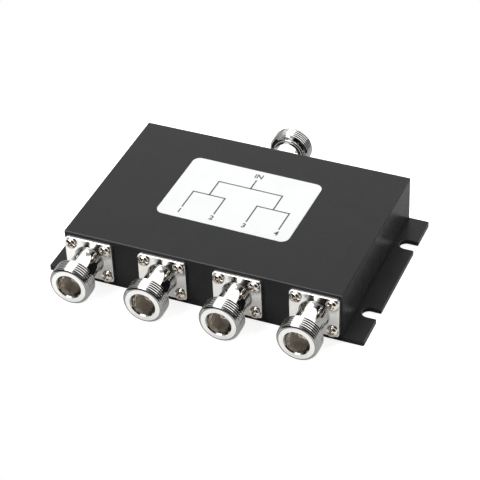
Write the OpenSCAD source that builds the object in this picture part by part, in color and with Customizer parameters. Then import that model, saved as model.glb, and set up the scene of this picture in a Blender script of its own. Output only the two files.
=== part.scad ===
// RF power splitter: one coaxial input on the back, four outputs on the front.
// Millimetres, +Z up, outputs face -Y, origin at the centre of the base plate's underside.

/* [Body] */
// Width of the housing, left to right
body_w = 108.2; // [92:0.1:150]
// Depth of the housing, front to back
body_d = 74; // [64:0.1:110]
// Height from the underside of the base plate to the top of the housing
body_h = 20.7; // [20:0.1:30]
// Thickness of the four walls
wall_t = 5; // [4.8:0.1:7]
// Radius of the rounded top edges of the housing
top_edge_r = 0.5; // [0.2:0.1:1]
// Radius of the upright corners of the housing
corner_r = 0.4; // [0.2:0.1:2]
// Radius of the milled inside corners of the cavity
cavity_r = 4; // [2:0.1:8]

/* [Base plate] */
// Thickness of the base plate
plate_t = 1.9; // [1.8:0.1:2.4]
// How far each ear stands out from the housing
ear_w = 7.9; // [6:0.1:14]
// Radius of the ears' outer corners
ear_corner_r = 0.7; // [0.2:0.1:3]
// Width of the open mounting slots
slot_w = 5.4; // [4.2:0.1:7]
// Distance between the two slots of one ear
slot_pitch = 41.9; // [24:0.1:50]
// Metal left between the housing's side and the round end of a slot
slot_web = 1.5; // [0.5:0.1:3]

/* [Jacks] */
// Distance from the housing's sides to the outermost output jacks
port_inset = 10.2; // [9.8:0.1:14]
// How far the jacks' axes lie below the middle of the housing's walls
port_drop = 0.3; // [0:0.1:0.6]
// Length of a jack from the housing's face to its mouth
jack_len = 18.4; // [17:0.1:24]
// Width of the flange
flange_w = 18.7; // [17:0.1:19]
// Height of the flange
flange_h = 16.8; // [16:0.1:17]
// Thickness of the flange
flange_t = 1.5; // [1.2:0.1:2.5]
// Radius of the flange's corners
flange_corner_r = 1.2; // [0.3:0.1:2]
// Diameter of the neck behind the threaded ring
neck_d = 10.8; // [10.4:0.1:11.4]
// Radius of the fillet between the neck and the flange
neck_fillet_r = 0.5; // [0.2:0.1:0.6]
// Outside diameter of the threaded ring
ring_d = 15.9; // [14.5:0.1:16]
// Length of the threaded ring
ring_len = 6.3; // [4.5:0.1:8]
// Width of the ring's outer chamfer at the mouth
nose_chamfer = 1; // [0.4:0.1:1.4]
// Width of the chamfer at the back of the ring
ring_back_chamfer = 0.4; // [0.1:0.1:0.8]
// Diameter of the bore that takes the mating plug
bore_d = 9.2; // [8:0.1:9.4]
// Depth of that bore from the mouth
bore_depth = 9.2; // [8:0.1:10]
// Width of the inner chamfer at the mouth
mouth_chamfer = 0.4; // [0.2:0.1:0.8]

/* [Insulators and contacts] */
// Diameter of the insulator
insulator_d = 7; // [6:0.1:7.6]
// Diameter of the insulator's collar, which is trapped between the shell and the wall
collar_d = 8.4; // [8:0.1:9]
// Length of that collar
collar_len = 3; // [1.5:0.1:4]
// Diameter of the socket contact
contact_d = 3.05; // [2.6:0.05:3.4]
// Depth of the contact's tip behind the mouth
tip_recess = 4.6; // [4.5:0.1:5.5]
// Diameter of the hole in the contact's tip
socket_d = 1.65; // [1.4:0.05:1.9]
// Depth of the hole in the contact's tip
socket_depth = 5; // [3:0.1:6]
// Width of the two crossing cuts that make the contact's fingers
finger_cut_w = 0.3; // [0.2:0.05:0.5]
// Length of those cuts
finger_cut_len = 4; // [2:0.1:4.5]
// Depth of the contact's seat behind the insulator's front face
contact_seat = 5; // [2:0.1:8]
// Diameter of the contact's solder pin
pin_d = 1.5; // [1:0.1:1.8]
// Length of the pin that lies on the board, inside the wall
pin_reach = 4; // [2.5:0.1:5]

/* [Screws] */
// Distance from a flange's sides to the middle of its screws
flange_screw_inset = 2.5; // [2.4:0.1:2.8]
// Thread diameter of all screws
screw_d = 2.5; // [2:0.1:2.6]
// Diameter of the domed screw heads
head_d = 4.5; // [4:0.1:4.6]
// Height of the domed screw heads
head_h = 1.7; // [1.4:0.1:2]
// Height of the straight rim of a domed head
head_rim_h = 0.7; // [0.4:0.1:1]
// Width of the arms of the cross recess
recess_w = 0.7; // [0.4:0.1:1]
// Length of the arms of the cross recess, tip to tip
recess_len = 2.6; // [1.8:0.1:3]
// Depth of the cross recess
recess_depth = 0.9; // [0.4:0.1:1]
// Length of thread that a flange screw has in the wall
flange_screw_grip = 3.4; // [2:0.1:3.8]
// Length of thread that a cover screw has in the wall
cover_screw_grip = 5; // [3:0.1:6]
// Length of thread that a board screw has in the roof
board_screw_grip = 4; // [2:0.1:5]
// Diameter of the flat heads of the cover screws
flat_head_d = 4.7; // [4:0.1:4.8]
// Height of the flat heads of the cover screws
flat_head_h = 1.5; // [1.2:0.1:1.6]
// Distance from the front and back faces to the cover screws in the side walls
cover_screw_inset = 7.4; // [7:0.1:12]
// Distance from the front and back faces to the cover screws in the bosses there
boss_inset = 4.2; // [3.8:0.1:5]
// Radius of those bosses
boss_r = 3.2; // [2.6:0.1:3.6]

/* [Circuit] */
// Thickness of the board
board_t = 1; // [0.6:0.1:1.6]
// Gap between the board's edge and the walls
board_gap = 0.3; // [0.1:0.1:0.8]
// Thickness of the copper lines
copper_t = 0.1; // [0.05:0.05:0.2]
// Width of the input and output lines
line_w = 2.6; // [1.8:0.1:3]
// Width of the divider arms
arm_w = 1.3; // [0.8:0.1:1.6]
// Radius of a divider loop along the middle of its arms
loop_r = 5; // [4:0.1:5.4]
// Gap between the two arms of a divider
arm_gap = 1.2; // [0.8:0.1:1.6]
// Length of the input line
feed_len = 5; // [4.8:0.1:7]
// Length of a chip resistor, across the gap
resistor_l = 3.2; // [2.8:0.1:4]
// Width of a chip resistor
resistor_w = 1.6; // [1.2:0.1:2]
// Height of a chip resistor
resistor_h = 0.6; // [0.4:0.1:0.8]
// Length of a chip resistor's metal ends
resistor_end_l = 0.6; // [0.4:0.1:0.8]
// Thickness of a chip resistor's metal ends
resistor_end_t = 0.06; // [0.04:0.02:0.1]
// Radius of the solder round a pin
solder_r = 1.3; // [1.1:0.1:1.4]

/* [Label] */
// Width of the label
label_w = 52.7; // [30:0.1:80]
// Depth of the label, front to back
label_d = 36.9; // [20:0.1:50]
// Thickness of the label
label_t = 0.15; // [0.1:0.05:0.3]
// Radius of the label's corners
label_corner_r = 3; // [1:0.1:6]
// How far the label's middle lies right of the housing's middle
label_x = -1.1; // [-6:0.1:6]
// How far the label's middle lies behind the housing's middle
label_y = 2.8; // [-6:0.1:6]
// Turn of the label, in degrees
label_turn = -1; // [-3:0.1:3]

/* [Fits] */
// Clearance round pins, contacts and insulators, on the radius
slip_fit = 0.05; // [0.02:0.01:0.1]
// Clearance round a screw in its threaded hole, on the radius
thread_fit = 0.05; // [0.02:0.01:0.1]
// Clearance round a screw in a hole that it passes through, on the radius
pass_fit = 0.2; // [0.1:0.05:0.3]
// Room left beyond the tip of a screw in a blind hole
tip_room = 0.4; // [0.2:0.1:0.8]
// Depth of the cover screws' heads below the underside of the plate
head_sink = 0.1; // [0.05:0.05:0.3]

/* [Hidden] */
$fn = 64;

// Colours
paint_black = "#2c2d2f";
nickel = "#c8cacc";
steel = "#b4b2ac";
ptfe_white = "#efece4";
gold = "#cfa653";
substrate_green = "#3f7048";
copper = "#c58a4e";
ceramic = "#2e3338";
solder_grey = "#b9bcc0";
paper_white = "#f4f4f2";

// Cutters reach this far past the faces that they cut
over = 1;

// Turns of the two arms of a cross, as in screw recesses and contact tips
CROSS = [0, 90];

// The input is port 0, and the outputs are ports 1 to 4 from left to right
PORT_IN = 0;
OUTPUTS = [1, 2, 3, 4];
PORTS = [0, 1, 2, 3, 4];
middle_output = (OUTPUTS[0] + OUTPUTS[3]) / 2;
port_pitch = (body_w - 2 * port_inset) / (OUTPUTS[3] - OUTPUTS[0]);
function port_x(p) = p == PORT_IN ? 0 : (p - middle_output) * port_pitch;

// Housing
port_z = (plate_t + body_h) / 2 - port_drop;
cavity_w = body_w - 2 * wall_t;
cavity_d = body_d - 2 * wall_t;

// The pins touch the underside of the copper, and the board's back touches the roof
copper_z = port_z + pin_d / 2;
board_z = copper_z + copper_t;
roof_z = board_z + board_t;

// Ears and slots
plate_w = body_w + 2 * ear_w;
slot_round_x = body_w / 2 + slot_web + slot_w / 2;

// Jack, measured outwards from the housing's face
ring_start = jack_len - ring_len;
shoulder = jack_len - bore_depth;
contact_tip = jack_len - tip_recess;
seat = shoulder - contact_seat;
pin_end = -wall_t - pin_reach;
insulator_hole_d = insulator_d + 2 * slip_fit;
collar_hole_d = collar_d + 2 * slip_fit;

// Screws
pass_d = screw_d + 2 * pass_fit;
tapped_d = screw_d + 2 * thread_fit;
flange_screw_places = [for (x = [-1, 1], y = [-1, 1])
    [x * (flange_w / 2 - flange_screw_inset), y * (flange_h / 2 - flange_screw_inset)]];
side_screw_x = body_w / 2 - wall_t / 2;
side_screw_y = body_d / 2 - cover_screw_inset;
boss_places = [for (x = [-1, 1], y = [-1, 1]) [x * port_pitch, y * (body_d / 2 - boss_inset)]];
cover_screw_places = concat(
    [for (x = [-1, 1], y = [-1, 0, 1]) [x * side_screw_x, y * side_screw_y]],
    boss_places);

// Circuit: the input divider lies on the middle line, an output divider between each pair of outputs
board_d = cavity_d - 2 * board_gap;
divider_len = 4 * loop_r;
input_divider_y = board_d / 2 - feed_len;
link_y = input_divider_y - divider_len;
output_divider_y = link_y;
spread_y = output_divider_y - divider_len;
DIVIDERS = [[0, input_divider_y], [-port_pitch, output_divider_y], [port_pitch, output_divider_y]];
board_screw_places = [for (p = OUTPUTS, y = [input_divider_y, output_divider_y])
    [port_x(p), y - divider_len / 2]];

// Flat shapes

module rounded_rectangle(w, d, r) {
    square([w - 2 * r, d], center = true);
    square([w, d - 2 * r], center = true);
    for (x = [-1, 1], y = [-1, 1])
        translate([x * (w / 2 - r), y * (d / 2 - r)])
            circle(r);
}

// Rectangle that stands on the X axis, with its two upper corners rounded
module arched_rectangle(w, h, r) {
    translate([-w / 2, 0]) square([w, h - r]);
    translate([-w / 2 + r, 0]) square([w - 2 * r, h]);
    for (x = [-1, 1])
        translate([x * (w / 2 - r), h - r])
            circle(r);
}

// Outline of the cavity, set in from its walls and bosses by a gap
module cavity_outline(gap) {
    difference() {
        rounded_rectangle(cavity_w - 2 * gap, cavity_d - 2 * gap, cavity_r);
        for (place = boss_places)
            translate(place) circle(boss_r + gap);
    }
}

// Places

// Puts a jack's own frame, with its mouth along +Z, at a port
module at_port(p) {
    side = p == PORT_IN ? 1 : -1;
    translate([port_x(p), side * body_d / 2, port_z])
        rotate([90, 0, p == PORT_IN ? 180 : 0])
            children();
}

// Screws

module cross_recess(depth) {
    for (a = CROSS)
        rotate(a)
            translate([-recess_len / 2, -recess_w / 2, -depth])
                cube([recess_len, recess_w, depth + over]);
}

// Domed screw along -Z, with the underside of its head at the origin
module domed_screw(len) {
    dome_h = head_h - head_rim_h;
    dome_r = (pow(head_d / 2, 2) + pow(dome_h, 2)) / (2 * dome_h);
    difference() {
        union() {
            intersection() {
                cylinder(d = head_d, h = head_h);
                translate([0, 0, head_h - dome_r]) sphere(dome_r);
            }
            translate([0, 0, -len]) cylinder(d = screw_d, h = len + head_rim_h);
        }
        translate([0, 0, head_h]) cross_recess(recess_depth);
    }
}

// Flat-headed screw along +Z, with the face of its head at the origin
module flat_screw(len) {
    difference() {
        union() {
            cylinder(d1 = flat_head_d, d2 = screw_d, h = flat_head_h);
            cylinder(d = screw_d, h = len);
        }
        mirror([0, 0, 1]) cross_recess(recess_depth);
    }
}

// Body

module housing_block() {
    h = body_h - plate_t;
    intersection() {
        linear_extrude(h) rounded_rectangle(body_w, body_d, corner_r);
        rotate([90, 0, 0])
            translate([0, 0, -body_d / 2])
                linear_extrude(body_d) arched_rectangle(body_w, h, top_edge_r);
        rotate([90, 0, 90])
            translate([0, 0, -body_w / 2])
                linear_extrude(body_w) arched_rectangle(body_d, h, top_edge_r);
    }
}

module housing() {
    color(paint_black)
        difference() {
            translate([0, 0, plate_t]) housing_block();
            translate([0, 0, plate_t - over])
                linear_extrude(roof_z - plate_t + over) cavity_outline(0);
            for (p = PORTS)
                at_port(p) {
                    translate([0, 0, -wall_t - over])
                        cylinder(d = insulator_hole_d, h = wall_t + 2 * over);
                    for (place = flange_screw_places)
                        translate([place.x, place.y, -flange_screw_grip - tip_room])
                            cylinder(d = tapped_d, h = flange_screw_grip + tip_room + over);
                }
            for (place = cover_screw_places)
                translate([place.x, place.y, plate_t - over])
                    cylinder(d = tapped_d, h = cover_screw_grip + tip_room + over);
            for (place = board_screw_places)
                translate([place.x, place.y, roof_z - over])
                    cylinder(d = tapped_d, h = board_screw_grip + tip_room + over);
        }
}

module slot_cutter() {
    translate([slot_round_x, 0, -over]) {
        cylinder(d = slot_w, h = plate_t + 2 * over);
        translate([0, -slot_w / 2, 0]) cube([plate_w, slot_w, plate_t + 2 * over]);
    }
}

module base_plate() {
    color(paint_black)
        difference() {
            linear_extrude(plate_t) rounded_rectangle(plate_w, body_d, ear_corner_r);
            for (side = [0, 180], y = [-1, 1])
                rotate(side)
                    translate([0, y * slot_pitch / 2, 0])
                        slot_cutter();
            for (place = cover_screw_places)
                translate([place.x, place.y, 0]) {
                    translate([0, 0, -over]) cylinder(d = flat_head_d, h = head_sink + over);
                    translate([0, 0, head_sink]) cylinder(d1 = flat_head_d, d2 = screw_d, h = flat_head_h);
                    cylinder(d = pass_d, h = plate_t + over);
                }
        }
}

module cover_screws() {
    color(steel)
        for (place = cover_screw_places)
            translate([place.x, place.y, head_sink])
                flat_screw(plate_t + cover_screw_grip - head_sink);
}

module label() {
    color(paper_white)
        translate([label_x, label_y, body_h])
            rotate(label_turn)
                linear_extrude(label_t) rounded_rectangle(label_w, label_d, label_corner_r);
}

// Jacks

// Half section of the turned shell: neck, ring, stepped bore and the seat of the insulator's collar
module shell_section() {
    collar_hole_r = collar_hole_d / 2;
    insulator_hole_r = insulator_hole_d / 2;
    bore_r = bore_d / 2;
    ring_r = ring_d / 2;
    polygon([
        [collar_hole_r, 0],
        [neck_d / 2, 0],
        [neck_d / 2, ring_start],
        [ring_r - ring_back_chamfer, ring_start],
        [ring_r, ring_start + ring_back_chamfer],
        [ring_r, jack_len - nose_chamfer],
        [ring_r - nose_chamfer, jack_len],
        [bore_r + mouth_chamfer, jack_len],
        [bore_r, jack_len - mouth_chamfer],
        [bore_r, shoulder],
        [insulator_hole_r, shoulder],
        [insulator_hole_r, collar_len],
        [collar_hole_r, collar_len]]);
}

module neck_fillet() {
    rotate_extrude()
        translate([neck_d / 2, flange_t])
            difference() {
                square(neck_fillet_r);
                translate([neck_fillet_r, neck_fillet_r]) circle(neck_fillet_r);
            }
}

module flange() {
    linear_extrude(flange_t)
        difference() {
            rounded_rectangle(flange_w, flange_h, flange_corner_r);
            circle(d = collar_hole_d);
            for (place = flange_screw_places)
                translate(place) circle(d = pass_d);
        }
}

module jack_shell(p) {
    color(nickel)
        at_port(p) {
            rotate_extrude() shell_section();
            flange();
            neck_fillet();
        }
}

module insulator(p) {
    pin_hole_r = pin_d / 2 + slip_fit;
    contact_hole_r = contact_d / 2 + slip_fit;
    color(ptfe_white)
        at_port(p)
            rotate_extrude()
                polygon([
                    [pin_hole_r, -wall_t],
                    [insulator_d / 2, -wall_t],
                    [insulator_d / 2, 0],
                    [collar_d / 2, 0],
                    [collar_d / 2, collar_len],
                    [insulator_d / 2, collar_len],
                    [insulator_d / 2, shoulder],
                    [contact_hole_r, shoulder],
                    [contact_hole_r, seat],
                    [pin_hole_r, seat]]);
}

// Socket contact with four spring fingers at its tip and a solder pin at its back
module contact(p) {
    tip_chamfer = (contact_d - socket_d) / 4;
    color(gold)
        at_port(p)
            difference() {
                rotate_extrude()
                    polygon([
                        [0, pin_end],
                        [pin_d / 2, pin_end],
                        [pin_d / 2, seat],
                        [contact_d / 2, seat],
                        [contact_d / 2, contact_tip - tip_chamfer],
                        [contact_d / 2 - tip_chamfer, contact_tip],
                        [socket_d / 2, contact_tip],
                        [socket_d / 2, contact_tip - socket_depth],
                        [0, contact_tip - socket_depth]]);
                for (a = CROSS)
                    rotate(a)
                        translate([-contact_d, -finger_cut_w / 2, contact_tip - finger_cut_len])
                            cube([2 * contact_d, finger_cut_w, finger_cut_len + over]);
            }
}

module flange_screws(p) {
    color(steel)
        at_port(p)
            for (place = flange_screw_places)
                translate([place.x, place.y, flange_t])
                    domed_screw(flange_t + flange_screw_grip);
}

// Circuit

module circuit_board() {
    color(substrate_green)
        translate([0, 0, board_z])
            linear_extrude(board_t)
                difference() {
                    cavity_outline(board_gap);
                    for (place = board_screw_places)
                        translate(place) circle(d = pass_d);
                }
}

// Two loops in a row that are cut along their middle, from a joined start at the origin down to -Y
module divider_arms() {
    difference() {
        for (k = [1, 3])
            translate([0, -k * loop_r])
                difference() {
                    circle(loop_r + arm_w / 2);
                    circle(loop_r - arm_w / 2);
                }
        translate([-arm_gap / 2, -divider_len - arm_w])
            square([arm_gap, divider_len + arm_w - loop_r]);
    }
}

// Line along X between two places, centred on y
module cross_line(x0, x1, y, w) {
    translate([min(x0, x1), y - w / 2]) square([abs(x1 - x0), w]);
}

// Line along Y between two places, centred on x
module long_line(x, y0, y1, w) {
    translate([x - w / 2, min(y0, y1)]) square([w, abs(y1 - y0)]);
}

module microstrip() {
    color(copper)
        translate([0, 0, copper_z])
            linear_extrude(copper_t) {
                long_line(0, board_d / 2, input_divider_y, line_w);
                for (place = DIVIDERS)
                    translate(place) divider_arms();
                for (side = [-1, 1]) {
                    // Arms of the input divider run out to the output dividers
                    cross_line(side * arm_gap / 2, side * (port_pitch + line_w / 2), link_y, line_w);
                    // Arms of the output dividers run out to the outputs
                    for (away = [-1, 1]) {
                        middle = side * port_pitch;
                        port = middle + away * port_pitch / 2;
                        cross_line(middle + away * arm_gap / 2, port + away * line_w / 2, spread_y, line_w);
                        long_line(port, spread_y, -board_d / 2, line_w);
                    }
                }
            }
}

// Chip resistor under the copper, lying across X
module chip_resistor() {
    core_w = resistor_w - 2 * resistor_end_t;
    core_h = resistor_h - 2 * resistor_end_t;
    translate([-resistor_l / 2, -core_w / 2, -resistor_h + resistor_end_t])
        cube([resistor_l, core_w, core_h]);
    for (x = [-resistor_l / 2, resistor_l / 2 - resistor_end_l])
        translate([x, -resistor_w / 2, -resistor_h])
            cube([resistor_end_l, resistor_w, resistor_h]);
}

module isolation_resistors() {
    color(ceramic)
        for (place = DIVIDERS, k = [2, 4])
            translate([place.x, place.y - k * loop_r, copper_z])
                chip_resistor();
}

// Half-round fillets of solder between each pin and the line that it lies on
module solder_joints() {
    len = pin_reach - board_gap;
    color(solder_grey)
        for (p = PORTS)
            at_port(p)
                translate([0, 0, pin_end])
                    difference() {
                        intersection() {
                            translate([0, pin_d / 2, 0]) cylinder(r = solder_r, h = len);
                            translate([-solder_r, pin_d / 2 - solder_r, 0]) cube([2 * solder_r, solder_r, len]);
                        }
                        translate([0, 0, -over]) cylinder(d = pin_d, h = len + 2 * over);
                    }
}

module board_screws() {
    color(steel)
        for (place = board_screw_places)
            translate([place.x, place.y, board_z])
                mirror([0, 0, 1])
                    domed_screw(board_t + board_screw_grip);
}

housing();
base_plate();
label();
circuit_board();
microstrip();
isolation_resistors();
solder_joints();
board_screws();
cover_screws();
jack_shell(0);  // jack_shell_in
jack_shell(1);  // jack_shell_1
jack_shell(2);  // jack_shell_2
jack_shell(3);  // jack_shell_3
jack_shell(4);  // jack_shell_4
insulator(0);  // insulator_in
insulator(1);  // insulator_1
insulator(2);  // insulator_2
insulator(3);  // insulator_3
insulator(4);  // insulator_4
contact(0);  // contact_in
contact(1);  // contact_1
contact(2);  // contact_2
contact(3);  // contact_3
contact(4);  // contact_4
flange_screws(0);  // flange_screws_in
flange_screws(1);  // flange_screws_1
flange_screws(2);  // flange_screws_2
flange_screws(3);  // flange_screws_3
flange_screws(4);  // flange_screws_4
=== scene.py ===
"""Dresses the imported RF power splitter: a painted box, five plated coaxial jacks, their screws and a label.

Sizes in the classes are millimetres, in the part's own frame: +Z up, the outputs towards -Y.
"""

import logging
import math
from collections.abc import Iterable, Sequence
from dataclasses import dataclass, field
from enum import Enum, IntEnum
from functools import reduce

import bmesh
import bpy
from mathutils import Matrix, Vector


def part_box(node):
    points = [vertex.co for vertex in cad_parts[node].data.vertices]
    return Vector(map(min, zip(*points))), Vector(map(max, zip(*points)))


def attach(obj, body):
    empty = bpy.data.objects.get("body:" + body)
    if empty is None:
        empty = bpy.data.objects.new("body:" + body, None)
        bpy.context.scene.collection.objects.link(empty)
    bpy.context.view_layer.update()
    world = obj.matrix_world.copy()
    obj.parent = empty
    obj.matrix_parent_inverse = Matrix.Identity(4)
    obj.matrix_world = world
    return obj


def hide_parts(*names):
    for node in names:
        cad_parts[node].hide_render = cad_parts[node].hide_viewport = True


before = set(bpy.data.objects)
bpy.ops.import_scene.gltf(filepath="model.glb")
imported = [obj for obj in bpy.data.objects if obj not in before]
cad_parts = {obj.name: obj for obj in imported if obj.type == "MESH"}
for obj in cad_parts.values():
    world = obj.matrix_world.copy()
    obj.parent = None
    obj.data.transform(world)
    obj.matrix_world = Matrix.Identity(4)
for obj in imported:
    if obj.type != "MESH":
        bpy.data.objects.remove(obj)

LOG = logging.getLogger("splitter")
MM = 0.001
BODY = "root"
IMAGE_SIZE = 480

IN_PLACE = Matrix.Identity(4)

Colour = tuple[float, float, float]
Point = tuple[float, float]
Spot = tuple[float, float, float]


# Node trees


class Graph:
    """A node tree under construction."""

    def __init__(self, tree: bpy.types.NodeTree) -> None:
        """Starts on an existing tree."""
        self.tree = tree

    def add(
            self, kind: str, inputs: dict[str | int, object] | None = None,
            **settings: object) -> bpy.types.Node:
        """Adds a node.

        Args:
            kind: the node's type
            inputs: value, Field or socket for each input, by name or place
            settings: properties of the node

        Returns:
            The new node.
        """
        node = self.tree.nodes.new(kind)
        for name, value in settings.items():
            setattr(node, name, value)
        for key, value in (inputs or {}).items():
            self.feed(node.inputs[key], value)
        return node

    def feed(self, socket: bpy.types.NodeSocket, value: object) -> None:
        """Links a Field or an output to an input, or sets the input.

        Args:
            socket: the input
            value: Field, output socket or plain value
        """
        if isinstance(value, Field):
            value = value.socket
        if isinstance(value, bpy.types.NodeSocket):
            self.tree.links.new(value, socket)
        else:
            socket.default_value = value

    def field(self, socket: bpy.types.NodeSocket) -> "Field":
        """The output as a number to reckon with."""
        return Field(self, socket)

    def blend(self, share: "Field", first: object, second: object) -> bpy.types.NodeSocket:
        """Mixes two colours.

        Args:
            share: how much of the second colour shows, from 0 to 1
            first: colour with its alpha, or a colour output
            second: colour with its alpha, or a colour output

        Returns:
            The mixed colour.
        """
        mix = self.add("ShaderNodeMix", {"Factor": share}, data_type="RGBA")
        colours = [socket for socket in mix.inputs if socket.type == "RGBA"]
        self.feed(colours[0], first)
        self.feed(colours[1], second)
        return next(socket for socket in mix.outputs if socket.type == "RGBA")


@dataclass(frozen=True)
class Field:
    """A number that runs through a node tree; arithmetic on it adds Math nodes."""

    graph: Graph
    socket: bpy.types.NodeSocket

    def _math(self, operation: str, *others: "Field | float") -> "Field":
        """Adds a Math node.

        Args:
            operation: the node's operation
            others: operands after this one

        Returns:
            The node's result.
        """
        inputs = dict(enumerate((self, *others)))
        return Field(self.graph, self.graph.add("ShaderNodeMath", inputs, operation=operation).outputs[0])

    def __add__(self, other: "Field | float") -> "Field":
        """Sum of the two."""
        return self._math("ADD", other)

    def __sub__(self, other: "Field | float") -> "Field":
        """Difference of the two."""
        return self._math("SUBTRACT", other)

    def __mul__(self, other: "Field | float") -> "Field":
        """Product of the two."""
        return self._math("MULTIPLY", other)

    def least(self, other: "Field | float") -> "Field":
        """The smaller of the two."""
        return self._math("MINIMUM", other)

    def most(self, other: "Field | float") -> "Field":
        """The larger of the two."""
        return self._math("MAXIMUM", other)

    def size(self) -> "Field":
        """The number without its sign."""
        return self._math("ABSOLUTE")

    def fraction(self) -> "Field":
        """What is left of the number above the whole number below it."""
        return self._math("FRACT")

    def root(self) -> "Field":
        """Square root of the number."""
        return self._math("SQRT")

    def cosine(self) -> "Field":
        """Cosine of the number, in radians."""
        return self._math("COSINE")

    def sine(self) -> "Field":
        """Sine of the number, in radians."""
        return self._math("SINE")

    def mapped(self, start: float, end: float, low: "Field | float", high: "Field | float") -> "Field":
        """The number carried from one range to another, and held inside it.

        Args:
            start: where the range begins
            end: where the range ends
            low: result at start
            high: result at end

        Returns:
            The mapped number.
        """
        inputs = {"Value": self, "From Min": start, "From Max": end, "To Min": low, "To Max": high}
        return Field(self.graph, self.graph.add("ShaderNodeMapRange", inputs).outputs["Result"])


# Finishes


# The middle part of a noise's range, over which one tone gives way to the other
NOISE_SPAN = (0.3, 0.7)
NOISE_DETAIL = 3.0
# How far an edge has to turn from its two faces before the painted highlight starts, and shows in full
EDGE_HIGHLIGHT_SPAN = (0.3, 0.8)
# What the wave texture multiplies its coordinates by
WAVE_FACTOR = 20.0


@dataclass(frozen=True)
class Finish:
    """A surface with a slow change of tone and gloss and a fine grain; lengths in millimetres."""

    name: str
    slot: str
    colour: Colour
    second: Colour
    roughness: float
    roughness_spread: float = 0.03
    metallic: float = 0.0
    specular: float = 0.5
    patch: float = 6.0
    grain: float = 0.25
    relief: float = 0.001
    # A painted highlight: its colour, and the side whose rounded top edge it lights
    rubbed: Colour | None = None
    rubbed_side: Spot = (0.0, -1.0, 0.0)

    def material(self) -> bpy.types.Material:
        """The finish as a material, made on first use."""
        return bpy.data.materials.get(self.name) or self._make()

    def _make(self) -> bpy.types.Material:
        """Builds the material.

        Returns:
            The new material.
        """
        material = bpy.data.materials.new(self.name)
        material.use_nodes = True
        graph = Graph(material.node_tree)
        shader = material.node_tree.nodes["Principled BSDF"]
        shader.inputs["Metallic"].default_value = self.metallic
        shader.inputs["Specular IOR Level"].default_value = self.specular
        place = graph.add("ShaderNodeTexCoord").outputs["Object"]
        patches = self._noise(graph, place, self.patch).mapped(*NOISE_SPAN, 0.0, 1.0)
        shade = graph.blend(patches, (*self.colour, 1.0), (*self.second, 1.0))
        if self.rubbed:
            shade = self._rub(graph, shade)
        graph.feed(shader.inputs["Base Color"], shade)
        low, high = self.roughness - self.roughness_spread, self.roughness + self.roughness_spread
        graph.feed(shader.inputs["Roughness"], patches.mapped(0.0, 1.0, low, high))
        height = self._height(graph, place)
        bump = graph.add("ShaderNodeBump", {"Distance": self.relief * MM, "Height": height})
        graph.feed(shader.inputs["Normal"], bump.outputs["Normal"])
        return material

    def _rub(self, graph: Graph, shade: bpy.types.NodeSocket) -> bpy.types.NodeSocket:
        """Paints a highlight on the rounded edge between the top and the chosen side.

        Args:
            graph: the material's tree
            shade: colour of the plain faces

        Returns:
            The colour with the painted edge highlight.
        """
        facing = graph.add("ShaderNodeNewGeometry").outputs["Normal"]
        sides = {0: facing, 1: self.rubbed_side}
        outwards = graph.add("ShaderNodeVectorMath", sides, operation="DOT_PRODUCT").outputs["Value"]
        upwards = graph.add("ShaderNodeSeparateXYZ", {0: facing}).outputs["Z"]
        # Halfway round the edge the product is a half, so it is doubled
        edge = graph.field(outwards) * graph.field(upwards) * 2.0
        return graph.blend(edge.mapped(*EDGE_HIGHLIGHT_SPAN, 0.0, 1.0), shade, (*self.rubbed, 1.0))

    def _noise(self, graph: Graph, place: bpy.types.NodeSocket, size: float) -> Field:
        """Adds a noise.

        Args:
            graph: the material's tree
            place: coordinates that the noise follows
            size: size of its patches in millimetres

        Returns:
            The noise, from 0 to 1.
        """
        inputs = {"Vector": place, "Scale": 1.0 / (size * MM), "Detail": NOISE_DETAIL}
        return graph.field(graph.add("ShaderNodeTexNoise", inputs).outputs["Fac"])

    def _height(self, graph: Graph, place: bpy.types.NodeSocket) -> Field:
        """The grain's height, from 0 to 1."""
        return self._noise(graph, place, self.grain)


@dataclass(frozen=True)
class TurnedFinish(Finish):
    """A finish with the fine rings that a lathe leaves round an axis along Y."""

    wobble: float = 1.5
    wobble_detail: float = 2.0

    def _height(self, graph: Graph, place: bpy.types.NodeSocket) -> Field:
        """Adds the rings.

        Args:
            graph: the material's tree
            place: coordinates that the rings follow

        Returns:
            The rings' height, from 0 to 1.
        """
        waves = 2.0 * math.pi / (WAVE_FACTOR * self.grain * MM)
        inputs = {"Vector": place, "Scale": waves, "Distortion": self.wobble, "Detail": self.wobble_detail}
        rings = graph.add("ShaderNodeTexWave", inputs, wave_type="BANDS", bands_direction="Y")
        return graph.field(rings.outputs["Fac"])


# The lighter front top edge of the housing is a painted highlight
HOUSING_PAINT = Finish(
    "satin_black_housing", "housing_paint", (0.031, 0.0313, 0.032), (0.034, 0.0343, 0.035), 0.28,
    specular=0.03, patch=9.0, grain=0.16, relief=0.0012, rubbed=(0.16, 0.16, 0.165))
# The lighter top edges that face +X, along the right ear's outer edge, are a painted highlight
PLATE_PAINT = Finish(
    "satin_black_plate", "plate_paint", (0.031, 0.0313, 0.032), (0.034, 0.0343, 0.035), 0.3,
    specular=0.03, patch=9.0, grain=0.16, relief=0.0012,
    rubbed=(0.19, 0.19, 0.195), rubbed_side=(1.0, 0.0, 0.0))
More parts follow.
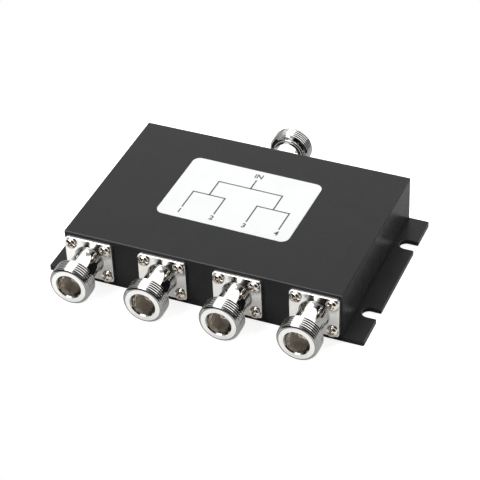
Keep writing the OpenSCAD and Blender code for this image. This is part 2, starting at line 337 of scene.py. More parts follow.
# One nickel plating in two tones: painted darker on the ring, neck and thread as painted shade, and near
# white on the flange front and mouth face as painted light
SHADED_PLATING = TurnedFinish(
    "bright_plating", "nickel", (0.33, 0.327, 0.32), (0.305, 0.302, 0.295), 0.05,
    roughness_spread=0.015, metallic=1.0, patch=4.0, grain=0.11, relief=0.00008)
LIT_FACE_PLATING = Finish(
    "bright_flat_face", "nickel", (0.95, 0.945, 0.92), (0.92, 0.91, 0.88), 0.16,
    metallic=1.0, patch=4.0, grain=0.2, relief=0.0002)
FLANGE_EDGE = Finish(
    "satin_flange_edge", "nickel", (0.78, 0.76, 0.745), (0.72, 0.70, 0.685), 0.35,
    metallic=1.0, patch=1.5, grain=0.2, relief=0.0006)
BORE = Finish(
    "satin_bore", "nickel", (0.66, 0.625, 0.585), (0.59, 0.56, 0.52), 0.22,
    metallic=1.0, patch=1.5, grain=0.2, relief=0.0006)
SCREW_PLATING = Finish(
    "screw_plating", "screw_nickel", (0.82, 0.775, 0.71), (0.66, 0.60, 0.53), 0.11,
    metallic=1.0, patch=0.9, grain=0.2, relief=0.0006)
SCREW_STEEL = Finish(
    "screw_steel_zinc", "screw_steel", (0.60, 0.59, 0.56), (0.50, 0.49, 0.47), 0.24,
    metallic=1.0, patch=1.2, grain=0.2, relief=0.0006)
# The contact's near-white, barely metallic colour is a painted reflection that keeps its tip pale deep in the
# bore
CONTACT_PAINTED_PALE = Finish(
    "contact_gold", "contact_plating", (0.97, 0.93, 0.87), (0.95, 0.89, 0.81), 0.3,
    metallic=0.15, patch=1.0, grain=0.15, relief=0.0004)
INSULATOR_WHITE = Finish(
    "insulator_white", "insulator", (0.80, 0.78, 0.73), (0.75, 0.73, 0.67), 0.42,
    patch=2.0, grain=0.12, relief=0.0008)
LABEL_FILM = Finish(
    "label_film_white", "label_film", (0.86, 0.865, 0.87), (0.83, 0.835, 0.84), 0.30,
    roughness_spread=0.02, specular=0.4, patch=14.0, grain=0.4, relief=0.0006)
LABEL_INK = Finish(
    "label_ink_black", "label_film", (0.012, 0.012, 0.013), (0.02, 0.02, 0.021), 0.45,
    specular=0.3, patch=1.5, grain=0.1, relief=0.0004)
SUBSTRATE = Finish(
    "laminate_green", "substrate", (0.045, 0.14, 0.055), (0.06, 0.17, 0.07), 0.45,
    patch=3.0, grain=0.3, relief=0.002)
COPPER = Finish(
    "bare_copper", "copper", (0.74, 0.36, 0.19), (0.62, 0.29, 0.15), 0.3,
    metallic=1.0, patch=2.5, grain=0.2, relief=0.0006)
CERAMIC = Finish(
    "chip_ceramic", "ceramic", (0.03, 0.034, 0.04), (0.045, 0.05, 0.056), 0.4,
    patch=0.8, grain=0.1, relief=0.0006)
SOLDER = Finish(
    "tin_solder", "solder", (0.62, 0.63, 0.65), (0.54, 0.55, 0.57), 0.22,
    metallic=1.0, patch=0.8, grain=0.2, relief=0.002)


# Meshes


def arc(middle: Point, radius: float, start: float, end: float, steps: int) -> list[Point]:
    """Points along an arc.

    Args:
        middle: the arc's centre
        radius: the arc's radius
        start: angle of the first point, in degrees
        end: angle of the last point, in degrees
        steps: number of chords

    Returns:
        The points, both ends with them.
    """
    angles = [math.radians(start + (end - start) * k / steps) for k in range(steps + 1)]
    return [(middle[0] + radius * math.cos(a), middle[1] + radius * math.sin(a)) for a in angles]


def rounded_outline(width: float, depth: float, radius: float, steps: int = 6) -> list[Point]:
    """Outline of a rectangle with round corners, anticlockwise round the origin.

    Args:
        width: size along X
        depth: size along Y
        radius: radius of the corners
        steps: chords in each corner

    Returns:
        The outline's points.
    """
    x, y = width / 2 - radius, depth / 2 - radius
    corners = [((x, y), 0), ((-x, y), 90), ((-x, -y), 180), ((x, -y), 270)]
    return [point for middle, start in corners for point in arc(middle, radius, start, start + 90, steps)]


def circle_outline(middle: Point, radius: float, sides: int) -> list[Point]:
    """Outline of a circle, anticlockwise, that starts on the +X side.

    Args:
        middle: the circle's centre
        radius: the circle's radius
        sides: number of points

    Returns:
        The outline's points.
    """
    return arc(middle, radius, 0.0, 360.0, sides)[:-1]


class Surface:
    """Faces under construction, in millimetres, before they become a piece."""

    def __init__(self) -> None:
        """Starts empty."""
        self.faces = bmesh.new()

    def loop(self, outline: Iterable[Point], height: float) -> list[bmesh.types.BMVert]:
        """Adds a level closed loop of points.

        Args:
            outline: the loop's points
            height: their place along Z

        Returns:
            The new points.
        """
        return [self.faces.verts.new((x, y, height)) for x, y in outline]

    def join(
            self, first: Sequence[bmesh.types.BMVert], second: Sequence[bmesh.types.BMVert],
            coat: int = 0) -> None:
        """Closes the strip between two loops of as many points.

        Args:
            first: one loop
            second: the other loop
            coat: which of the piece's finishes covers the strip
        """
        for k, point in enumerate(first):
            after = (k + 1) % len(first)
            strip = self.faces.faces.new((point, first[after], second[after], second[k]))
            strip.material_index = coat

    def stack(
            self, outlines: Sequence[tuple[Sequence[Point], float]],
            coat: int = 0) -> list[list[bmesh.types.BMVert]]:
        """Adds loops one above the other and closes the strips between them.

        Args:
            outlines: each loop's points and height, in order
            coat: which of the piece's finishes covers the strips

        Returns:
            The loops.
        """
        loops = [self.loop(outline, height) for outline, height in outlines]
        for below, above in zip(loops, loops[1:]):
            self.join(below, above, coat)
        return loops

    def turn(self, profile: Sequence[Point], sides: int, coat: int = 0) -> list[list[bmesh.types.BMVert]]:
        """Turns an open half section round Z.

        Args:
            profile: radius and height of each point, in order
            sides: number of faces round the axis
            coat: which of the piece's finishes covers it

        Returns:
            The loops, one for each point of the section.
        """
        outlines = [(circle_outline((0.0, 0.0), radius, sides), height) for radius, height in profile]
        return self.stack(outlines, coat)

    def fill(self, *loops: Sequence[bmesh.types.BMVert], coat: int = 0) -> None:
        """Fills a flat face, whose holes are the loops inside its outer one.

        Args:
            loops: the outer loop and those inside it
            coat: which of the piece's finishes covers it
        """
        edges = []
        for loop in loops:
            for k, point in enumerate(loop):
                ends = (point, loop[(k + 1) % len(loop)])
                edges.append(self.faces.edges.get(ends) or self.faces.edges.new(ends))
        filled = bmesh.ops.triangle_fill(self.faces, use_beauty=True, use_dissolve=False, edges=edges)
        for face in (item for item in filled["geom"] if isinstance(item, bmesh.types.BMFace)):
            face.material_index = coat

    def plate(self, outline: Sequence[Point], low: float, high: float) -> None:
        """Adds a closed plate.

        Args:
            outline: the plate's outline
            low: height of its underside
            high: height of its top
        """
        bottom, top = self.stack([(outline, low), (outline, high)])
        self.fill(bottom)
        self.fill(top)

    def take(self, mesh: bpy.types.Mesh, place: Matrix = IN_PLACE) -> None:
        """Adds a mesh in the piece's first finish; the mesh is then deleted.

        Args:
            mesh: faces in millimetres
            place: where they go
        """
        mesh.transform(place)
        for face in mesh.polygons:
            face.material_index = 0
        self.faces.from_mesh(mesh)
        bpy.data.meshes.remove(mesh)

    def merge_flat(self, angle: float = 0.3, weld: float = 0.0005) -> None:
        """Merges the triangles of each flat face.

        Args:
            angle: edges flatter than this go, in degrees
            weld: points nearer than this are merged first
        """
        bmesh.ops.remove_doubles(self.faces, verts=self.faces.verts, dist=weld)
        bmesh.ops.dissolve_limit(
            self.faces, angle_limit=math.radians(angle), verts=self.faces.verts, edges=self.faces.edges)

    def to_object(
            self, name: str, finish: Finish, place: Matrix, *coats: Finish,
            weld: float = 0.0005) -> bpy.types.Object:
        """Makes the piece.

        Args:
            name: the piece's name
            finish: what covers it
            place: carries the faces to the part's frame
            coats: finishes of the strips that have another one
            weld: points nearer than this are merged

        Returns:
            The piece, at the origin, with its place in its mesh.
        """
        bmesh.ops.remove_doubles(self.faces, verts=self.faces.verts, dist=weld)
        bmesh.ops.dissolve_degenerate(self.faces, edges=self.faces.edges, dist=weld)
        bmesh.ops.recalc_face_normals(self.faces, faces=self.faces.faces)
        mesh = bpy.data.meshes.new(name)
        self.faces.to_mesh(mesh)
        self.faces.free()
        mesh.transform(place)
        return stand(name, mesh, finish, *coats)


def stand(
        name: str, mesh: bpy.types.Mesh, finish: Finish, *coats: Finish,
        crease: float | None = 32.0) -> bpy.types.Object:
    """Puts a mesh into the scene.

    Args:
        name: the object's name
        mesh: its faces
        finish: what covers it
        coats: further finishes, which the faces name by their place
        crease: edges sharper than this angle stay sharp, in degrees; None keeps the shading that
            the mesh brings

    Returns:
        The new object.
    """
    mesh.name = name
    while len(mesh.materials) < 1 + len(coats):
        mesh.materials.append(None)
    for place, coat in enumerate((finish, *coats)):
        mesh.materials[place] = coat.material()
    if crease is not None:
        mesh.shade_smooth()
        mesh.set_sharp_from_angle(angle=math.radians(crease))
    piece = bpy.data.objects.new(name, mesh)
    bpy.context.scene.collection.objects.link(piece)
    return piece


def plain_mesh(piece: bpy.types.Object) -> bpy.types.Mesh:
    """Turns an object with modifiers into a plain mesh and deletes the object.

    Args:
        piece: object whose modifiers are set

    Returns:
        The evaluated mesh.
    """
    graph = bpy.context.evaluated_depsgraph_get()
    mesh = bpy.data.meshes.new_from_object(piece.evaluated_get(graph), depsgraph=graph)
    source = piece.data
    piece.modifiers.clear()
    bpy.data.objects.remove(piece)
    if isinstance(source, bpy.types.Mesh):
        bpy.data.meshes.remove(source)
    else:
        bpy.data.curves.remove(source)
    return mesh


def settle(piece: bpy.types.Object, finish: Finish, *nodes: str) -> None:
    """Hands a finished piece to the frame and reports it.

    Args:
        piece: the piece
        finish: not used
        nodes: CAD nodes that it stands for
    """
    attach(piece, BODY)
    if nodes:
        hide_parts(*nodes)
    purpose = ", ".join(nodes) or "the surface below"
    LOG.info("%s: %d faces, for %s", piece.name, len(piece.data.polygons), purpose)


def dress(node: str, finish: Finish) -> None:
    """Covers a CAD node, whose shape stays.

    Args:
        node: the node's name
        finish: what covers it
    """
    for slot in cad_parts[node].material_slots:
        slot.material = finish.material()
    LOG.info("%s: CAD shape in %s", node, finish.name)


# Geometry Nodes


class Pattern:
    """A Geometry Nodes tree with named inputs."""

    KINDS: dict[type, str] = {
        float: "NodeSocketFloat", int: "NodeSocketInt",
        bpy.types.Object: "NodeSocketObject", bpy.types.Material: "NodeSocketMaterial"}

    def __init__(self, name: str) -> None:
        """Starts a tree that takes and gives a mesh.

        Args:
            name: the tree's name
        """
        self.tree = bpy.data.node_groups.new(name, "GeometryNodeTree")
        self.tree.is_modifier = True
        self.tree.interface.new_socket("Geometry", in_out="INPUT", socket_type="NodeSocketGeometry")
        self.tree.interface.new_socket("Geometry", in_out="OUTPUT", socket_type="NodeSocketGeometry")
        self.graph = Graph(self.tree)
        self.values: dict[str, object] = {}
        self.entry = self.graph.add("NodeGroupInput")

    def input(self, name: str, value: object) -> Field:
        """Adds a named input.

        Args:
            name: the input's name
            value: what it is set to

        Returns:
            The input inside the tree.
        """
        kind = next(kind for held, kind in self.KINDS.items() if isinstance(value, held))
        socket = self.tree.interface.new_socket(name, in_out="INPUT", socket_type=kind)
        self.values[socket.identifier] = value
        return self.graph.field(self.entry.outputs[name])

    def end(self, geometry: bpy.types.NodeSocket, finish: Finish) -> None:
        """Ends the tree in plain geometry with its material.

        Args:
            geometry: the tree's result
            finish: what covers it
        """
        real = self.graph.add("GeometryNodeRealizeInstances", {"Geometry": geometry})
        inputs = {"Geometry": real.outputs[0], "Material": self.input("Finish", finish.material())}
        covered = self.graph.add("GeometryNodeSetMaterial", inputs)
        self.graph.add("NodeGroupOutput", {"Geometry": covered.outputs[0]})

    def run(self, base: bpy.types.Mesh) -> bpy.types.Mesh:
        """Runs the tree.

        Args:
            base: mesh that the tree starts from

        Returns:
            The tree's result as a plain mesh.
        """
        piece = bpy.data.objects.new(self.tree.name, base)
        bpy.context.scene.collection.objects.link(piece)
        modifier = piece.modifiers.new(self.tree.name, "NODES")
        modifier.node_group = self.tree
        for identifier, value in self.values.items():
            modifier[identifier] = value
        return plain_mesh(piece)


# The jacks


class Port(Enum):
    """The ports: the input on the back, and the outputs from left to right."""

    IN = "in"
    OUT_1 = "1"
    OUT_2 = "2"
    OUT_3 = "3"
    OUT_4 = "4"

    def node(self, kind: str) -> str:
        """Name of this port's CAD node of a kind."""
        return f"{kind}_{self.value}"


@dataclass
class DomedScrew:
    """A small domed screw with a cross recess, along -Z from the underside of its head; angles in degrees."""

    head_d: float = 4.5
    head_h: float = 1.7
    rim_h: float = 0.7
    rim_round: float = 0.15
    dome_start: float = 4.0
    dome_end: float = 88.0
    dome_steps: int = 8
    shank_d: float = 2.5
    shank_len: float = 4.9
    recess_len: float = 2.7
    recess_w: float = 0.72
    recess_depth: float = 1.0
    recess_taper: float = 0.62
    recess_round: float = 0.1
    recess_steps: int = 2
    recess_over: float = 1.0
    sides: int = 40

    def build(self) -> bpy.types.Object:
        """Builds one screw with its recess cut.

        Returns:
            The screw, in millimetres.
        """
        blank = self._blank().to_object("screw_blank", SCREW_PLATING, IN_PLACE)
        for turn in (0.0, math.pi / 2):
            cutter = self._blade().to_object("recess_blade", SCREW_PLATING, Matrix.Rotation(turn, 4, "Z"))
            cut = blank.modifiers.new("recess", "BOOLEAN")
            cut.operation = "DIFFERENCE"
            cut.solver = "EXACT"
            cut.object = cutter
        cutters = [modifier.object for modifier in blank.modifiers]
        mesh = plain_mesh(blank)
        for cutter in cutters:
            bpy.data.objects.remove(cutter)
        return stand("domed_screw", mesh, SCREW_PLATING)

    def _blank(self) -> Surface:
        """Turns the screw before its recess is cut.

        Returns:
            The screw's faces.
        """
        dome_h = self.head_h - self.rim_h
        dome_r = ((self.head_d / 2) ** 2 + dome_h ** 2) / (2 * dome_h)
        edge = math.degrees(math.asin((self.rim_h - self.head_h + dome_r) / dome_r))
        middle = (0.0, self.head_h - dome_r)
        dome = arc(middle, dome_r, edge + self.dome_start, self.dome_end, self.dome_steps)
        rim = self.head_d / 2
        profile = [
            (self.shank_d / 2 - self.rim_round, -self.shank_len),
            (self.shank_d / 2, -self.shank_len + self.rim_round),
            (self.shank_d / 2, 0.0),
            (rim - self.rim_round, 0.0),
            (rim, self.rim_round),
            (rim, self.rim_h - self.rim_round),
            *dome]
        blank = Surface()
        loops = blank.turn(profile, self.sides)
        blank.fill(loops[0])
        blank.fill(loops[-1])
        return blank

    def _blade(self) -> Surface:
        """Makes one arm of the recess, narrower towards its bottom.

        Returns:
            The arm's faces.
        """
        length, width = self.recess_len, self.recess_w
        foot, mouth = (
            rounded_outline(length * share, width * share, self.recess_round, self.recess_steps)
            for share in (self.recess_taper, 1.0))
        over = self.head_h + self.recess_over
        blade = Surface()
        loops = blade.stack([(foot, self.head_h - self.recess_depth), (mouth, self.head_h), (mouth, over)])
        blade.fill(loops[0])
        blade.fill(loops[-1])
        return blade


class Coat(IntEnum):
    """Places of the finishes on a jack's shell."""

    PLATED = 0
    EDGE = 1
    BORE = 2
    FACE = 3


@dataclass
class CoaxialJack:
    """One coaxial jack: threaded shell on a flange, insulator, contact and four screws."""

    port: Port
    screw: bpy.types.Object
    sides: int = 96
    flange_t: float = 1.5
    flange_corner_r: float = 1.2
    flange_edge: float = 0.12
    screw_inset: float = 2.5
    screw_hole_d: float = 2.9
    screw_hole_sides: int = 24
    first_seed: int = 3
    neck_d: float = 10.8
    neck_fillet_r: float = 0.5
    neck_fillet_steps: int = 5
    ring_d: float = 15.9
    ring_len: float = 6.3
    nose_round: float = 1.25
    nose_seam: float = 0.06
    tail_chamfer: float = 0.7
    tail_fillet_r: float = 1.0
    tail_fillet_steps: int = 8
    thread_pitch: float = 1.058
    thread_depth: float = 0.38
    thread_crest: float = 0.38
    thread_steps: int = 12
    row_nudge: float = 0.001
    bore_d: float = 9.2
    bore_depth: float = 9.2
    mouth_chamfer: float = 0.4
    insulator_hole_d: float = 7.1
    collar_hole_d: float = 8.5
    collar_len: float = 3.0
    length: float = field(init=False)
    flange_w: float = field(init=False)
    flange_h: float = field(init=False)
    place: Matrix = field(init=False)

    def __post_init__(self) -> None:
        """Takes the jack's place, length and flange from its CAD node."""
        low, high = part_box(self.port.node("jack_shell"))
        middle = (low + high) / 2
        to_back = self.port is Port.IN
        self.length = (high.y - low.y) / MM
        self.flange_w = (high.x - low.x) / MM
        self.flange_h = (high.z - low.z) / MM
        outwards = Matrix.Rotation(math.pi if to_back else 0.0, 4, "Z") @ Matrix.Rotation(math.pi / 2, 4, "X")
        seat = Matrix.Translation((middle.x, low.y if to_back else high.y, middle.z))
        self.place = seat @ outwards @ Matrix.Scale(MM, 4)

    def build(self) -> None:
        """Builds the shell and the screws, and dresses the insulator and the contact."""
        self._shell()
        self._screws()
        dress(self.port.node("insulator"), INSULATOR_WHITE)
        dress(self.port.node("contact"), CONTACT_PAINTED_PALE)

    def _shell(self) -> None:
        """Builds the turned shell with its flange and thread."""
        ring_start = self.length - self.ring_len
        shoulder = self.length - self.bore_depth
        neck_r, bore_r = self.neck_d / 2, self.bore_d / 2
        nose_r = self.ring_d / 2 - self.nose_round
        tail_r = self.ring_d / 2 - self.tail_chamfer
        shell = Surface()
        fillet_middle = (neck_r + self.neck_fillet_r, self.flange_t + self.neck_fillet_r)
        shoulder_middle = (neck_r + self.tail_fillet_r, ring_start - self.tail_fillet_r)
        outside = shell.turn(
            [*arc(fillet_middle, self.neck_fillet_r, 270.0, 180.0, self.neck_fillet_steps),
             *arc(shoulder_middle, self.tail_fillet_r, 180.0, 90.0, self.tail_fillet_steps),
             (tail_r, ring_start)],
            self.sides)
        mouth = [(bore_r + self.mouth_chamfer, self.length), (bore_r, self.length - self.mouth_chamfer)]
        face = [(nose_r, self.length), (nose_r - self.nose_seam, self.length), mouth[0]]
        shell.turn(face, self.sides, Coat.FACE)
        shell.turn(mouth, self.sides, Coat.PLATED)
        inside = shell.turn(
            [mouth[-1],
             (bore_r, shoulder),
             (self.insulator_hole_d / 2, shoulder),
             (self.insulator_hole_d / 2, self.collar_len),
             (self.collar_hole_d / 2, self.collar_len),
             (self.collar_hole_d / 2, 0.0)],
            self.sides, Coat.BORE)
        self._flange(shell, outside[0], inside[-1])
        shell.take(self._thread(ring_start, tail_r, nose_r))
        name = self.port.node("threaded_shell")
        piece = shell.to_object(name, SHADED_PLATING, self.place, FLANGE_EDGE, BORE, LIT_FACE_PLATING)
        settle(piece, SHADED_PLATING, self.port.node("jack_shell"))

    def _flange(self, shell: Surface, neck: list[bmesh.types.BMVert], bore: list[bmesh.types.BMVert]) -> None:
        """Adds the flange between the neck and the bore.

        Args:
            shell: the shell under construction
            neck: foot of the neck on the flange's front
            bore: end of the bore on the flange's back
        """
        full = rounded_outline(self.flange_w, self.flange_h, self.flange_corner_r)
        inner_w, inner_h = self.flange_w - 2 * self.flange_edge, self.flange_h - 2 * self.flange_edge
        eased = rounded_outline(inner_w, inner_h, self.flange_corner_r - self.flange_edge)
        rim = shell.stack([
            (eased, 0.0), (full, self.flange_edge),
            (full, self.flange_t - self.flange_edge), (eased, self.flange_t)], Coat.EDGE)
        rounds = [circle_outline(place, self.screw_hole_d / 2, self.screw_hole_sides)
                  for place in self._screw_places()]
        holes = [shell.stack([(outline, 0.0), (outline, self.flange_t)]) for outline in rounds]
        shell.fill(rim[-1], neck, *[hole[-1] for hole in holes], coat=Coat.FACE)
        shell.fill(rim[0], bore, *[hole[0] for hole in holes])

    def _thread(self, start: float, tail_r: float, nose_r: float) -> bpy.types.Mesh:
        """Winds the ring's thread with Geometry Nodes: a grid whose rows follow the helix.

        Args:
            start: where the ring begins along the axis
            tail_r: radius at the ring's back end
            nose_r: radius at the mouth

        Returns:
            The ring's outer face, in millimetres.
        """
        pattern = Pattern("jack_thread")
        graph = pattern.graph
        crest = pattern.input("Crest Radius", self.ring_d / 2)
        depth = pattern.input("Depth", self.thread_depth)
        pitch = pattern.input("Pitch", self.thread_pitch)
        low = pattern.input("Start", start)
        high = pattern.input("End", self.length)
        tail = pattern.input("Tail Radius", tail_r)
        nose = pattern.input("Nose Radius", nose_r)
        round_r = pattern.input("Nose Round", self.nose_round)
        turns = pattern.input("Turns", math.ceil(self.ring_len / self.thread_pitch) + 1)
        steps = pattern.input("Steps a Turn", self.thread_steps)
        sides = pattern.input("Sides", self.sides)
        grid = graph.add("GeometryNodeMeshGrid", {
            "Size X": 1.0, "Size Y": 1.0, "Vertices X": sides + 1.0, "Vertices Y": turns * steps + 1.0})
        spot = graph.add("ShaderNodeSeparateXYZ", {0: graph.add("GeometryNodeInputPosition").outputs[0]})
        turn = graph.field(spot.outputs["X"]) + 0.5
        row = (graph.field(spot.outputs["Y"]) + 0.5) * turns
        along = (low + pitch * (row + turn - 1.0)).most(low).least(high)
        off_crest = ((row + self.row_nudge).fraction() - 0.5).size()
        cut = off_crest.mapped(self.thread_crest / 2, 0.5, 0.0, 1.0)
        reach = (high - along).least(round_r)
        rounding = nose + (reach * (round_r * 2.0 - reach)).root()
        radius = (crest - depth * cut).least(rounding).least(tail + (along - low))
        angle = turn * (2.0 * math.pi)
        point = graph.add("ShaderNodeCombineXYZ", {
            "X": radius * angle.cosine(), "Y": radius * angle.sine(), "Z": along})
        wound = graph.add("GeometryNodeSetPosition", {
            "Geometry": grid.outputs["Mesh"], "Position": point.outputs[0]})
        pattern.end(wound.outputs[0], SHADED_PLATING)
        return pattern.run(bpy.data.meshes.new("thread_seed"))

    def _screw_places(self) -> list[Point]:
        """Places of the four screws on the flange."""
        x, y = self.flange_w / 2 - self.screw_inset, self.flange_h / 2 - self.screw_inset
        return [(-x, -y), (-x, y), (x, -y), (x, y)]

    def _screws(self) -> None:
        """Sets the four screws with Geometry Nodes, each turned by chance."""
        places = bpy.data.meshes.new("screw_places")
        places.from_pydata([(x, y, self.flange_t) for x, y in self._screw_places()], [], [])
        pattern = Pattern("flange_screws")
        graph = pattern.graph
        screw = graph.add("GeometryNodeObjectInfo", {"Object": pattern.input("Screw", self.screw)})
        seed = pattern.input("Seed", self.first_seed + list(Port).index(self.port))
        span = {"Min": 0.0, "Max": math.pi / 2, "Seed": seed}
        chance = graph.add("FunctionNodeRandomValue", span, data_type="FLOAT")
        turned = graph.add("ShaderNodeCombineXYZ", {
            "Z": next(socket for socket in chance.outputs if socket.enabled)})
        rotation = graph.add("FunctionNodeEulerToRotation", {0: turned.outputs[0]})
        copies = graph.add("GeometryNodeInstanceOnPoints", {
            "Points": pattern.entry.outputs["Geometry"], "Instance": screw.outputs["Geometry"],
            "Rotation": rotation.outputs[0]})
        pattern.end(copies.outputs["Instances"], SCREW_PLATING)
        mesh = pattern.run(places)
        mesh.transform(self.place)
        piece = stand(self.port.node("domed_screws"), mesh, SCREW_PLATING)
        settle(piece, SCREW_PLATING, self.port.node("flange_screws"))


# The box


@dataclass
class Enclosure:
    """The housing and the base plate, with their sharp edges eased as paint leaves them."""

    housing_ease: float = 0.12
    plate_ease: float = 0.22
    ease_steps: int = 2
    sharp_angle: float = 40.0
    flat_weight: int = 100

    def build(self) -> None:
        """Builds both pieces and dresses the cover screws."""
        self._eased("housing", "eased_housing", self.housing_ease, HOUSING_PAINT)
        self._eased("base_plate", "eased_base_plate", self.plate_ease, PLATE_PAINT)
        dress("cover_screws", SCREW_STEEL)

    def _eased(self, node: str, name: str, width: float, finish: Finish) -> None:
        """Copies a node and eases its sharp edges.

        Args:
            node: the CAD node
            name: the piece's name
            width: width of the eased edges
            finish: what covers the piece
        """
        copy = Surface()
        copy.take(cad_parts[node].data.copy(), Matrix.Scale(1.0 / MM, 4))
        copy.merge_flat()
        blank = copy.to_object(f"{node}_blank", finish, Matrix.Scale(MM, 4))
        ease = blank.modifiers.new("ease", "BEVEL")
        ease.width = width * MM
        ease.segments = self.ease_steps
        ease.limit_method = "ANGLE"
        ease.angle_limit = math.radians(self.sharp_angle)
        even = blank.modifiers.new("even", "WEIGHTED_NORMAL")
        even.keep_sharp = True
        even.weight = self.flat_weight
        piece = stand(name, plain_mesh(blank), finish, crease=None)
        settle(piece, finish, node)


@dataclass
class Circuit:
    """The board inside the box, whose CAD shapes stay."""

    finishes: dict[str, Finish] = field(default_factory=lambda: {
        "circuit_board": SUBSTRATE,
        "microstrip": COPPER,
        "isolation_resistors": CERAMIC,
        "solder_joints": SOLDER,
        "board_screws": SCREW_STEEL})

    def build(self) -> None:
        """Dresses each node."""
        for node, finish in self.finishes.items():
            dress(node, finish)


@dataclass
class PortLabel:
    """The white label on top, printed with plain port marks and a one-to-four line diagram."""

    width: float = 52.7
    depth: float = 36.9
    corner_r: float = 3.0
    corner_steps: int = 12
    turn: float = -1.0
    print_t: float = 0.02
    print_weld: float = 0.00001
    edge: float = 0.04
    mark_size: float = 3.4
    mark_swell: float = 0.09
    mark_y: float = 15.0
    number_y: float = -14.6
    number_pitch: float = 12.9
    number_x: float = 1.4
    line_w: float = 0.55
    trunk_y: float = 12.4
    first_split_y: float = 7.0
    second_split_y: float = -2.0
    lines_end_y: float = -12.0
    thickness: float = field(init=False)
    place: Matrix = field(init=False)

    def __post_init__(self) -> None:
        """Takes the label's place and thickness from its CAD node."""
        low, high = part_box("label")
        middle = (low + high) / 2
        self.thickness = (high.z - low.z) / MM
        turned = Matrix.Rotation(math.radians(self.turn), 4, "Z")
        self.place = Matrix.Translation((middle.x, middle.y, low.z)) @ turned @ Matrix.Scale(MM, 4)

    def build(self) -> None:
        """Builds the film and its print."""
        self._film()
        self._print()

    def _outline(self, inset: float) -> list[Point]:
        """The film's outline, drawn in by the inset."""
        width, depth = self.width - 2 * inset, self.depth - 2 * inset
        return rounded_outline(width, depth, self.corner_r - inset, self.corner_steps)

    def _film(self) -> None:
        """Builds the film with a softened edge."""
        top = self.thickness - self.print_t
        full, inner = (self._outline(inset) for inset in (0.0, self.edge))
        film = Surface()
        loops = film.stack([(full, 0.0), (full, top - self.edge), (inner, top)])
        film.fill(loops[0])
        film.fill(loops[-1])
        settle(film.to_object("label_film", LABEL_FILM, self.place), LABEL_FILM, "label")

    def _print(self) -> None:
        """Prints the port marks and the lines between them."""
        ink = Surface()
        outputs = [self.number_x + self.number_pitch * step for step in (-1.5, -0.5, 0.5, 1.5)]
        self._words(ink, "IN", self.number_x, self.mark_y)
        for number, x in enumerate(outputs, start=1):
            self._words(ink, str(number), x, self.number_y)
        pairs = [(outputs[0], outputs[1]), (outputs[2], outputs[3])]
        middles = [(left + right) / 2 for left, right in pairs]
        self._line(ink, (self.number_x, self.trunk_y), (self.number_x, self.first_split_y))
        self._line(ink, (middles[0], self.first_split_y), (middles[1], self.first_split_y))
        for middle, pair in zip(middles, pairs):
            self._line(ink, (middle, self.first_split_y), (middle, self.second_split_y))
            self._line(ink, (pair[0], self.second_split_y), (pair[1], self.second_split_y))
            for x in pair:
                self._line(ink, (x, self.second_split_y), (x, self.lines_end_y))
        settle(ink.to_object("label_print", LABEL_INK, self.place, weld=self.print_weld), LABEL_INK)

    def _words(self, ink: Surface, words: str, x: float, y: float) -> None:
        """Adds upright words to the print.

        Args:
            ink: the print under construction
            words: what they say
            x: their middle along X
            y: their middle along Y
        """
        curve = bpy.data.curves.new("mark", "FONT")
        curve.body = words
        curve.size = self.mark_size
        curve.align_x = "CENTER"
        curve.align_y = "CENTER"
        curve.offset = self.mark_swell
        curve.extrude = self.print_t / 2
        mark = bpy.data.objects.new("mark", curve)
        bpy.context.scene.collection.objects.link(mark)
        ink.take(plain_mesh(mark), Matrix.Translation((x, y, self.thickness - self.print_t / 2)))

    def _line(self, ink: Surface, start: Point, end: Point) -> None:
        """Adds a straight line to the print.

        Args:
            ink: the print under construction
            start: one end
            end: the other end
        """
        half = self.line_w / 2
        left, right = sorted((start[0], end[0]))
        front, back = sorted((start[1], end[1]))
        corners = [(left - half, front - half), (right + half, front - half),
                   (right + half, back + half), (left - half, back + half)]
        ink.plate(corners, self.thickness - self.print_t, self.thickness)


# The studio


@dataclass(frozen=True)
class Softbox:
    """A soft lamp that looks at the part; lengths in metres."""

    name: str
    place: Spot
    width: float
    height: float
    radiance: float
    aim: Spot = (0.0, 0.0, 0.01)

    def build(self) -> None:
        """Hangs the lamp."""
        lamp = bpy.data.lights.new(self.name, "AREA")
        lamp.shape = "RECTANGLE"
        lamp.size = self.width
        lamp.size_y = self.height
        lamp.energy = self.radiance * math.pi * self.width * self.height
        hung = bpy.data.objects.new(self.name, lamp)
        hung.location = self.place
        hung.rotation_euler = (Vector(self.aim) - Vector(self.place)).to_track_quat("-Z", "Y").to_euler()
        bpy.context.scene.collection.objects.link(hung)
        LOG.info("%s: softbox", self.name)


@dataclass(frozen=True)
class DarkSide:
    """A dim part of the surround, as metal shows it; angles in degrees from its middle."""

    middle: Spot
    core: float
    edge: float

    def light(self, graph: Graph, direction: bpy.types.NodeSocket, dim: float) -> Field:
        """How bright the surround looks.

        Args:
            graph: the surround's tree
            direction: where the ray goes
            dim: brightness in the middle

        Returns:
            The brightness, 1 outside this part.
        """
        middle = Vector(self.middle).normalized()
        nearness = graph.add("ShaderNodeVectorMath", {0: direction, 1: middle}, operation="DOT_PRODUCT")
        edge, core = (math.cos(math.radians(angle)) for angle in (self.edge, self.core))
        return graph.field(nearness.outputs["Value"]).mapped(edge, core, 1.0, dim)


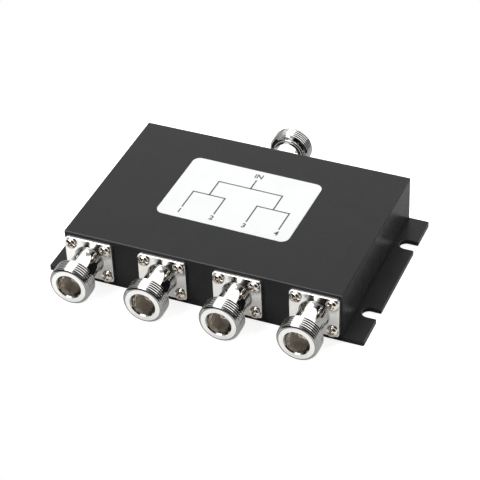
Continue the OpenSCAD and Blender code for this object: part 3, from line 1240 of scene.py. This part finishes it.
@dataclass
class Studio:
    """White floor, a surround that is white behind the part, soft lamps and the camera of the photograph.

    The floor's sizes are metres, the camera's distance and aim millimetres, and angles degrees.
    """

    floor_half: Point = (0.15, 0.115)
    floor_drop: float = 0.00005
    floor_white: float = 0.9
    floor_roughness: float = 0.9
    floor_lift: float = 0.8
    ambient: float = 0.15
    dark_sides: tuple[DarkSide, ...] = (
        DarkSide((0.55, -0.72, 0.42), 30.0, 36.0), DarkSide((-0.6, -0.75, -0.25), 40.0, 48.0))
    dim: float = 0.02
    mirrored_lift: float = 0.25
    azimuth: float = 24.015
    elevation: float = 38.092
    roll: float = -2.347
    distance: float = 702.06
    aim: Spot = (0.11, -1.197, 4.51)
    focal_pixels: float = 1873.71
    sensor: float = 36.0
    lamps: tuple[Softbox, ...] = (
        Softbox("back_softbox", (0.0, 0.88, 0.48), 1.6, 0.88, 2.75),
        Softbox("main_softbox", (0.12, 0.30, 0.88), 0.4, 0.4, 3.3),
        Softbox("front_softbox", (-0.32, -0.70, 0.64), 0.5, 0.5, 6.0),
    )

    def build(self) -> None:
        """Builds the floor, the lamps, the surround and the camera."""
        self._floor()
        for lamp in self.lamps:
            lamp.build()
        self._world()
        self._camera()
        bpy.context.scene.view_settings.view_transform = "Standard"

    def _seen(self, graph: Graph, mirrored: float) -> Field:
        """How much of the white background a ray shows.

        Args:
            graph: the tree that asks
            mirrored: share of it that metal and glass show

        Returns:
            1 for what the camera sees itself, the share for reflections, and 0 for the light on the part.
        """
        path = graph.add("ShaderNodeLightPath").outputs
        camera, glossy, through = (
            graph.field(path[f"Is {ray} Ray"]) for ray in ("Camera", "Glossy", "Transmission"))
        return camera.most(glossy.most(through) * mirrored)

    def _floor(self) -> None:
        """Lays a white floor that keeps the part's shadow."""
        material = bpy.data.materials.new("floor_white")
        material.use_nodes = True
        graph = Graph(material.node_tree)
        shader = material.node_tree.nodes["Principled BSDF"]
        white = (self.floor_white, self.floor_white, self.floor_white, 1.0)
        shader.inputs["Base Color"].default_value = white
        shader.inputs["Roughness"].default_value = self.floor_roughness
        shader.inputs["Specular IOR Level"].default_value = 0.0
        shader.inputs["Emission Color"].default_value = (1.0, 1.0, 1.0, 1.0)
        lift = self._seen(graph, self.mirrored_lift / self.floor_lift) * self.floor_lift
        graph.feed(shader.inputs["Emission Strength"], lift)
        wide, deep = self.floor_half
        mesh = bpy.data.meshes.new("floor")
        corners = [(-wide, -deep), (wide, -deep), (wide, deep), (-wide, deep)]
        mesh.from_pydata([(x, y, -self.floor_drop) for x, y in corners], [], [(0, 1, 2, 3)])
        mesh.materials.append(material)
        floor = bpy.data.objects.new("floor", mesh)
        bpy.context.scene.collection.objects.link(floor)
        LOG.info("floor: stage")

    def _world(self) -> None:
        """Sets a surround that metal mirrors, dim on two sides, and that lights the part softly."""
        world = bpy.data.worlds.new("white_surround")
        world.use_nodes = True
        bpy.context.scene.world = world
        graph = Graph(world.node_tree)
        light = world.node_tree.nodes["Background"]
        light.inputs["Color"].default_value = (1.0, 1.0, 1.0, 1.0)
        direction = graph.add("ShaderNodeTexCoord").outputs["Generated"]
        sides = [side.light(graph, direction, self.dim) for side in self.dark_sides]
        mirrored = self._seen(graph, 1.0).mapped(0.0, 1.0, self.ambient, reduce(Field.least, sides))
        graph.feed(light.inputs["Strength"], mirrored.most(self._seen(graph, 0.0)))

    def _camera(self) -> None:
        """Puts the camera where the photograph was taken from."""
        turn, lift, roll = (math.radians(a) for a in (self.azimuth, self.elevation, self.roll))
        back = Vector((math.sin(turn) * math.cos(lift), -math.cos(turn) * math.cos(lift), math.sin(lift)))
        level = Vector((math.cos(turn), math.sin(turn), 0.0))
        upright = back.cross(level)
        right = level * math.cos(roll) + upright * math.sin(roll)
        up = upright * math.cos(roll) - level * math.sin(roll)
        lens = bpy.data.cameras.new("photo_camera")
        lens.sensor_width = self.sensor
        lens.lens = self.focal_pixels / IMAGE_SIZE * self.sensor
        camera = bpy.data.objects.new("photo_camera", lens)
        axes = Matrix((right, up, back)).transposed().to_4x4()
        camera.matrix_world = Matrix.Translation((Vector(self.aim) + back * self.distance) * MM) @ axes
        bpy.context.scene.collection.objects.link(camera)
        bpy.context.scene.camera = camera


def main() -> None:
    """Builds the part's pieces and the studio."""
    logging.basicConfig(level=logging.INFO, format="%(message)s")
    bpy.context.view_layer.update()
    Enclosure().build()
    Circuit().build()
    screw = DomedScrew().build()
    for port in Port:
        CoaxialJack(port, screw).build()
    bpy.data.objects.remove(screw)
    PortLabel().build()
    Studio().build()


if __name__ == "__main__":
    main()
